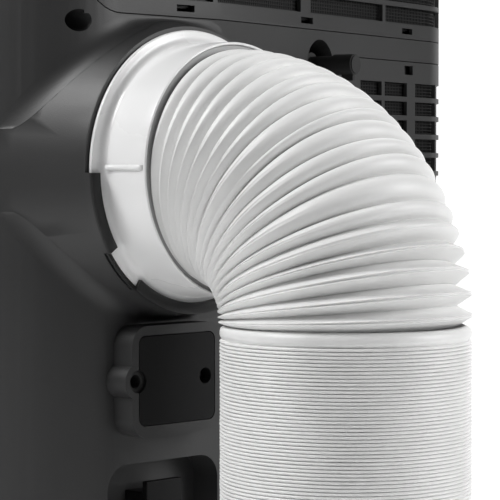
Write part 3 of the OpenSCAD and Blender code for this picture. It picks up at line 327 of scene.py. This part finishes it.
def add_adaptor():
    """White flange and sleeve: concave fillet, rounded rim, and a moulded rib at each side."""
    fillet, rim, edge = 5 * MM, 0.9 * MM, 1.1 * MM
    outline = [(SLEEVE_BORE - 3 * MM, -FLANGE_T)]
    outline += arc(FLANGE_R - edge, -FLANGE_T + edge, edge, -90, 0, 5)
    outline += arc(FLANGE_R - edge, -edge, edge, 0, 90, 5)
    outline += arc(SLEEVE_R + 0.4 * MM + fillet, fillet, fillet, 270, 180, 14)
    outline += [(SLEEVE_R + 0.3 * MM, 16 * MM), (SLEEVE_R + 0.1 * MM, 30 * MM)]
    outline += arc(SLEEVE_R - rim, SLEEVE_L - rim, rim, 0, 180, 12)
    outline += [(SLEEVE_R - 2 * rim, SLEEVE_L - 7 * MM), (SLEEVE_BORE, SLEEVE_L - 9 * MM)]
    outline += [(SLEEVE_BORE, 9 * MM), (SLEEVE_BORE - 3 * MM, 6 * MM)]
    count = 256
    adaptor = add_mesh("adaptor", turned(outline, count),
                       grid_faces(count, len(outline), True, True), "white_plastic", "exhaust_hose")
    flat_shade_limit(adaptor, 50)
    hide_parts("exhaust_adaptor")
    for side in (1, -1):
        verts = []
        rows, steps = 14, 9
        for i in range(rows):
            y = 5 * MM + (SLEEVE_L - 7 * MM) * i / (rows - 1)
            rise = 1.5 * MM * min(1, i / 1.5 + 0.2, (rows - 1 - i) / 1.5 + 0.1)
            foot = SLEEVE_R + 6 * MM * max(0, 1 - i / 1.8) * 0.35
            for k in range(steps):
                w = -1 + 2 * k / (steps - 1)
                r = foot - 0.4 * MM + (rise + 0.4 * MM) * math.sqrt(max(0, 1 - w * w)) ** 0.8
                verts.append(exhaust_point(side * r, y, (1.6 + 1.5 * w) * MM))
        rib = add_mesh(f"adaptor_rib_{'a' if side > 0 else 'b'}", verts, grid_faces(rows, steps),
                       "white_plastic", "exhaust_hose")
        solid = rib.modifiers.new("solid", "SOLIDIFY")
        solid.thickness = 0.4 * MM


def flat_shade_limit(obj, degrees):
    """Marks edges sharper than the angle, so that smooth shading stops there."""
    mesh = bmesh.new()
    mesh.from_mesh(obj.data)
    bmesh.ops.recalc_face_normals(mesh, faces=mesh.faces)
    for edge in mesh.edges:
        if len(edge.link_faces) == 2 and edge.calc_face_angle(0) > math.radians(degrees):
            edge.smooth = False
    mesh.to_mesh(obj.data)
    mesh.free()


# ------------------------------------------------------------------ pleated hose
PLEATS = 19
STACK_PITCH = 2.15 * MM
COLLAR = 7 * MM  # wide fold on top of the closed pleats


def smooth(low, high, x):
    """Soft step from 0 at low to 1 at high."""
    t = min(1, max(0, (x - low) / (high - low)))
    return t * t * (3 - 2 * t)


def round_pleat(f):
    """Depth below the crest, in millimetres, of a full pleat with narrow valleys."""
    edge = min(f, 1 - f)
    return 4.8 * abs(2 * f - 1) ** 2.2 + 0.8 * math.exp(-(edge / 0.08) ** 2)


def sharp_pleat(f):
    """Depth below the crest, 0 to 1, of a folded pleat with a double line on its crest."""
    away = abs(2 * f - 1)
    fall = max(0, away - 0.17) / 0.83
    return fall ** 0.9 + 0.10 * (1 - smooth(0.02, 0.14, away))


def add_bend():
    """The bent part: open pleats that fan out on the outside and are crushed on the inside."""
    across, per = 240, 28
    total = PLEATS * per
    sizes = [random.uniform(-1, 1) for _ in range(PLEATS + 1)]
    turns = [random.uniform(0, 6.28) for _ in range(PLEATS + 1)]
    ends = [n / PLEATS + random.uniform(-0.10, 0.10) / PLEATS for n in range(PLEATS + 1)]
    ends[0], ends[PLEATS] = 0, 1
    verts = []
    for i in range(total + 1):
        n = min(i // per, PLEATS - 1)
        f = i / per - n
        base = ends[n] * (1 - f) + ends[n + 1] * f
        for k in range(across):
            a = 2 * math.pi * k / across
            outer = math.sin(a)
            lean = 1.4 * math.sin(a + turns[n]) * (1 - f)
            lean += 1.4 * math.sin(a + turns[n + 1]) * f
            share = base + 0.13 / PLEATS * lean * math.sin(math.pi * base)
            fold = 1 - smooth(0.05, 0.7, outer) * (1 - smooth(0.70, 0.84, share))
            jut = 3.8 * smooth(0.66, 0.8, share) * max(0, outer)
            deep = (4.6 + 1.6 * outer + jut) * (1 + 0.14 * sizes[n])
            drop = fold * deep * sharp_pleat(f) + (1 - fold) * round_pleat(f)
            r = HOSE_R - (drop - 0.5 * fold * (1 + sizes[n] * smooth(0.7, 0.85, share))) * MM
            if n == 0:
                r -= 1.2 * MM * (1 - f) ** 2
            theta = math.pi / 2 * share
            reach = BEND_R + r * outer
            verts.append(exhaust_point(r * math.cos(a), BEND_START + reach * math.sin(theta),
                                       -BEND_R + reach * math.cos(theta)))
    mouth = len(verts)
    for r, y in ((72.5 * MM, BEND_START + 1 * MM), (72 * MM, 12 * MM)):
        for k in range(across):
            a = 2 * math.pi * k / across
            verts.append(exhaust_point(r * math.cos(a), y, r * math.sin(a)))
    faces = grid_faces(total + 1, across, False, True)
    for k in range(across):
        k2 = (k + 1) % across
        faces.append((mouth + k, mouth + k2, k2, k))
        faces.append((mouth + across + k, mouth + across + k2, mouth + k2, mouth + k))
    bend = add_mesh("hose_bend", verts, faces, "hose_film", "exhaust_hose")
    flat_shade_limit(bend, 70)
    solid = bend.modifiers.new("film", "SOLIDIFY")
    solid.thickness = 0.5 * MM
    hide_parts("hose_elbow")


def add_groove_shade_ring():
    """Grey ring in the sleeve's mouth, round the hose's first pleat: painted shade of the groove between the
    sleeve's rim and the hose.
    """
    outline = [(70 * MM, SLEEVE_L - 6 * MM), (77.3 * MM, SLEEVE_L - 6 * MM),
               (77.3 * MM, SLEEVE_L - 1.6 * MM), (76.9 * MM, SLEEVE_L - 1.1 * MM),
               (70 * MM, SLEEVE_L - 0.9 * MM)]
    count = 192
    # Painted shade: the grey ring fills the groove where the hose lies in shadow inside the sleeve's rim.
    ring = add_mesh("hose_groove_shade", turned(outline, count),
                    grid_faces(count, len(outline), True, True), "dark_casing", "exhaust_hose")
    give(ring, "groove_shade_grey")
    flat_shade_limit(ring, 40)


def add_stack():
    """The straight part: closed pleats packed as fine rings, slightly uneven."""
    across, per, fade = 192, 8, 60
    height = stack_high.z - stack_low.z
    count = round(height / STACK_PITCH)
    verts = []
    bulge = [random.uniform(-0.06, 0.06) for _ in range(count + 1)]
    # distance down and step in radius of the wide fold, then of the fine rings, in millimetres
    collar = [(0.0, -4.5), (0.8, -2.2), (2.0, -0.6), (3.6, -0.1), (5.4, 0.0), (6.6, -0.3)]
    rows = [(drop * MM, off, 0) for drop, off in collar]
    first = math.ceil(COLLAR / STACK_PITCH) * per
    for i in range(first, count * per + 1):
        n, f = divmod(i, per)
        crest = math.sqrt(max(0, 1 - (2 * f / per - 1) ** 2)) * 1.75
        rows.append((height * i / (count * per), -1.8 + crest + bulge[n], n))
    for i, (down, offset, n) in enumerate(rows):
        z = stack_high.z - down
        ends = min(1, i / fade, (len(rows) - 1 - i) / fade)
        for k in range(across):
            a = 2 * math.pi * k / across
            uneven = 0.05 * math.sin(2 * a + n * 0.37) + 0.02 * math.sin(7 * a + n * 1.9)
            r = HOSE_R + (offset + uneven) * MM
            wave = 0.10 * MM * math.sin(a + n * 0.21) + 0.03 * MM * math.sin(9 * a + n * 0.6)
            spot = DROP + SIDE * (r * math.cos(a)) + OUT * (r * math.sin(a))
            verts.append((spot.x, spot.y, z + wave * ends))
    stack = add_mesh("hose_closed", verts, grid_faces(len(rows), across, False, True),
                     "hose_film", None)
    flat_shade_limit(stack, 70)
    solid = stack.modifiers.new("film", "SOLIDIFY")
    solid.thickness = 0.4 * MM
    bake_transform(stack)
    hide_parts("hose_stack")


LIP_START, LIP_END = -1.2, -178.8
WINDOW_START, WINDOW_END = -34, -54


def add_lip():
    """Black face of the lip that holds the flange, and the shroud's edge in the lip's window."""
    front = [(83.35, 0.0), (83.35, 2.7), (83.9, 3.1), (90.1, 3.1), (90.7, 2.6), (90.7, 1.0)]
    rim = [(88.2, -3.0), (88.2, 0.45), (90.55, 0.45), (90.7, 0.2), (90.7, -1.0)]
    face_spans = ((LIP_START, WINDOW_START), (WINDOW_END, LIP_END))
    rim_spans = ((WINDOW_START + 0.4, WINDOW_END - 0.4),)
    for name, outline, spans in (("lip_face", front, face_spans), ("lip_rim", rim, rim_spans)):
        verts, faces = [], []
        for first, last in spans:
            steps = max(8, int(abs(last - first)))
            base = len(verts)
            for i in range(steps + 1):
                a = math.radians(first + (last - first) * i / steps)
                for r, y in outline:
                    verts.append(exhaust_point(r * MM * math.cos(a), y * MM, r * MM * math.sin(a)))
            faces += [tuple(base + v for v in f) for f in grid_faces(steps + 1, len(outline))]
        ring = add_mesh(name, verts, faces, "black_plastic", "cabinet")
        flat_shade_limit(ring, 40)


add_adaptor()
add_bend()
add_groove_shade_ring()
add_stack()
add_lip()


# ------------------------------------------------------------------ rear wall and soft fillets
FACET_X = FLANGE.x - (FACET_BACK - (FLANGE.y - REAR_Y) * OUT.y) / OUT.x
FACET_END_X = MID_X + HALF_W - CORNER_R + CORNER_R * OUT.x
FACET_L = (FACET_END_X - FACET_X) / OUT.y
FAR = Vector((MID_X + HALF_W - CORNER_R, REAR_Y - FACET_L * OUT.x - CORNER_R * OUT.y))
NEAR = Vector((MID_X - HALF_W + CORNER_R, REAR_Y - CORNER_R))
CORNER_L = math.pi / 2 * CORNER_R
FLAT_L = FACET_X - NEAR.x
FAR_T = FLAT_L + FACET_L
FAR_ANGLE = math.pi / 2 - TURN


def wall_at(t, out=0.0):
    """Point of the rear wall's outer face at distance t along it, moved out of it."""
    if t < -CORNER_L:
        return Vector((MID_X - HALF_W - out, NEAR.y + t + CORNER_L))
    if t < 0:
        a = math.pi / 2 - t / CORNER_R
        return NEAR + (CORNER_R + out) * Vector((math.cos(a), math.sin(a)))
    if t <= FLAT_L:
        return Vector((NEAR.x + t, REAR_Y + out))
    if t <= FAR_T:
        s = t - FLAT_L
        return Vector((FACET_X + s * OUT.y + out * OUT.x, REAR_Y - s * OUT.x + out * OUT.y))
    if t < FAR_T + FAR_ANGLE * CORNER_R:
        a = FAR_ANGLE - (t - FAR_T) / CORNER_R
        return FAR + (CORNER_R + out) * Vector((math.cos(a), math.sin(a)))
    return Vector((MID_X + HALF_W + out, FAR.y - (t - FAR_T - FAR_ANGLE * CORNER_R)))


def wall_depth(side):
    """How far behind the flange plane the wall lies, at a distance to the side of the axis."""
    low, high = 0.0, FAR_T + FAR_ANGLE * CORNER_R + 0.12
    for _ in range(40):
        mid = (low + high) / 2
        p = wall_at(mid)
        u = (Vector((p.x, p.y, 0)) - FLANGE).dot(Vector((SIDE.x, SIDE.y, 0)))
        if u < side:
            low = mid
        else:
            high = mid
    p = wall_at(low)
    return (Vector((p.x, p.y, FLANGE.z)) - FLANGE).dot(OUT)


def root_radius(out):
    """Outer radius of the shroud's widening root."""
    if out > ROOT_NEAR:
        return SHROUD_R
    return SHROUD_R + (ROOT_NEAR - max(out, ROOT_FAR)) * FLARE


FILLET = 10 * MM
FILLET_TOP = 97 * MM  # above the axis, just short of the upper filter panel
FILLET_BOTTOM = 96.4 * MM  # below the axis, just short of the cord cover's raised edge


def root_foot(cos_a):
    """How far behind the flange the root meets the wall, in one direction round the axis."""
    low, high = -140 * MM, -4 * MM
    for _ in range(40):
        foot = (low + high) / 2
        if wall_depth(root_radius(foot) * cos_a) > foot:
            low = foot
        else:
            high = foot
    return foot


def fillet_reach(r, foot, cos_a, limit):
    """How far the blend runs out along the wall before it is one fillet size from the foot."""
    low, high = 0.0, limit
    for _ in range(30):
        reach = (low + high) / 2
        if math.hypot(reach, wall_depth((r + reach) * cos_a) - foot) < FILLET:
            low = reach
        else:
            high = reach
    return reach


def add_shroud_fillet():
    """Soft concave blend from the wall up to the shroud's root, all round it."""
    count, steps = 300, 12
    least, lift = 0.6 * MM, 0.04 * MM
    verts = []
    for k in range(count):
        a = 2 * math.pi * k / count
        cos_a, sin_a = math.cos(a), math.sin(a)
        foot = root_foot(cos_a)
        r = root_radius(foot)
        limit = FILLET
        if sin_a > 0.3:
            limit = min(FILLET, max(least, FILLET_TOP / sin_a - r))
        if sin_a < -0.3:
            limit = min(FILLET, max(least, FILLET_BOTTOM / -sin_a - r))
        reach = fillet_reach(r, foot, cos_a, limit)
        end = wall_depth((r + reach) * cos_a)
        up = min(foot + min(FILLET, 1.6 * math.hypot(reach, end - foot)), ROOT_NEAR)
        p0 = Vector((root_radius(up) + lift, up))
        p1 = Vector((r + 0.05 * MM, foot + 0.05 * MM))
        p2 = Vector((r + reach, end + lift))
        for i in range(steps + 1):
            s = i / steps
            p = p0 * (1 - s) ** 2 + p1 * 2 * s * (1 - s) + p2 * s * s
            verts.append(exhaust_point(p.x * cos_a, p.y, p.x * sin_a))
    add_mesh("shroud_fillet", verts, grid_faces(count, steps + 1, True, False), "casing", "cabinet")


add_shroud_fillet()


# ------------------------------------------------------------------ filter nets and coil fins
NET_BACK = -4 * MM
BACKING = (-5.5 * MM, -6.5 * MM)


def add_net(name, body, node, t0, t1, pitch, wire):
    """Woven filter net that follows the rear wall, with a dark backing behind it."""
    low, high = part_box(node)
    verts, faces = [], []
    n_t = int((t1 - t0) / pitch)
    for i in range(n_t + 1):
        t = t0 + (t1 - t0) * i / n_t
        a, b = wall_at(t, NET_BACK), wall_at(t, NET_BACK - wire)
        along = wall_at(t + wire, NET_BACK) - a
        base = len(verts)
        for p in (a, a + along, b + along, b):
            verts.append((p.x, p.y, low.z))
            verts.append((p.x, p.y, high.z))
        for q in range(4):
            r = (q + 1) % 4
            faces.append((base + 2 * q, base + 2 * r, base + 2 * r + 1, base + 2 * q + 1))
    n_z, steps = int((high.z - low.z) / pitch), 60
    section = ((NET_BACK, 0), (NET_BACK, wire), (NET_BACK - wire, wire), (NET_BACK - wire, 0))
    for i in range(n_z + 1):
        z = low.z + (high.z - low.z) * i / n_z
        base = len(verts)
        for k in range(steps + 1):
            t = t0 + (t1 - t0) * k / steps
            for out, dz in section:
                p = wall_at(t, out)
                verts.append((p.x, p.y, z + dz - wire / 2))
        for k in range(steps):
            for q in range(4):
                r = (q + 1) % 4
                faces.append((base + 4 * k + q, base + 4 * k + r,
                              base + 4 * k + 4 + r, base + 4 * k + 4 + q))
    bays, past = 80, 24 * MM
    for out in BACKING:
        base = len(verts)
        for k in range(bays + 1):
            p = wall_at(t0 + (t1 + past - t0) * k / bays, out)
            verts.append((p.x, p.y, low.z - 1 * MM))
            verts.append((p.x, p.y, high.z + 10 * MM))
        faces += [(base + 2 * k, base + 2 * k + 1, base + 2 * k + 3, base + 2 * k + 2)
                  for k in range(bays)]
    net = add_mesh(name, verts, faces, "black_plastic", body, smooth=False)
    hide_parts(node)


def add_fins(name, node, pitch):
    """Stack of thin upright fins on rows of tubes, in place of a plain block."""
    low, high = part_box(node)
    header, fin, tube_r, row = 14 * MM, 0.35 * MM, 3.6 * MM, 22 * MM
    verts, faces = [], []
    x = low.x + header
    while x < high.x - header:
        box_mesh((x, low.y + 2 * MM, low.z), (x + fin, high.y, high.z), verts, faces)
        x += pitch
    for i in range(int((high.z - low.z) / row)):
        z = low.z + 11 * MM + i * row
        for y in (low.y + 10 * MM, high.y - 11 * MM):
            base = len(verts)
            for end in (low.x + 3 * MM, high.x - 3 * MM):
                for q in range(12):
                    a = math.pi * q / 6
                    verts.append((end, y + tube_r * math.cos(a), z + tube_r * math.sin(a)))
            for q in range(12):
                r = (q + 1) % 12
                faces.append((base + q, base + r, base + 12 + r, base + 12 + q))
    fins = add_mesh(name, verts, faces, "aluminium", "cabinet", smooth=False)
    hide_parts(node)


WRAP_T = -CORNER_L - 36 * MM
NET_PITCH, FIN_PITCH = 2.4 * MM, 2.6 * MM
add_net("upper_net", "upper_filter", "upper_filter_mesh", WRAP_T, FLAT_L + 116 * MM, NET_PITCH,
        0.5 * MM)
add_net("lower_net", "lower_filter", "lower_filter_mesh", WRAP_T, FLAT_L - 155 * MM, NET_PITCH,
        0.6 * MM)
add_fins("evaporator_fins", "evaporator_coil", FIN_PITCH)
add_fins("condenser_fins", "condenser_coil", FIN_PITCH)
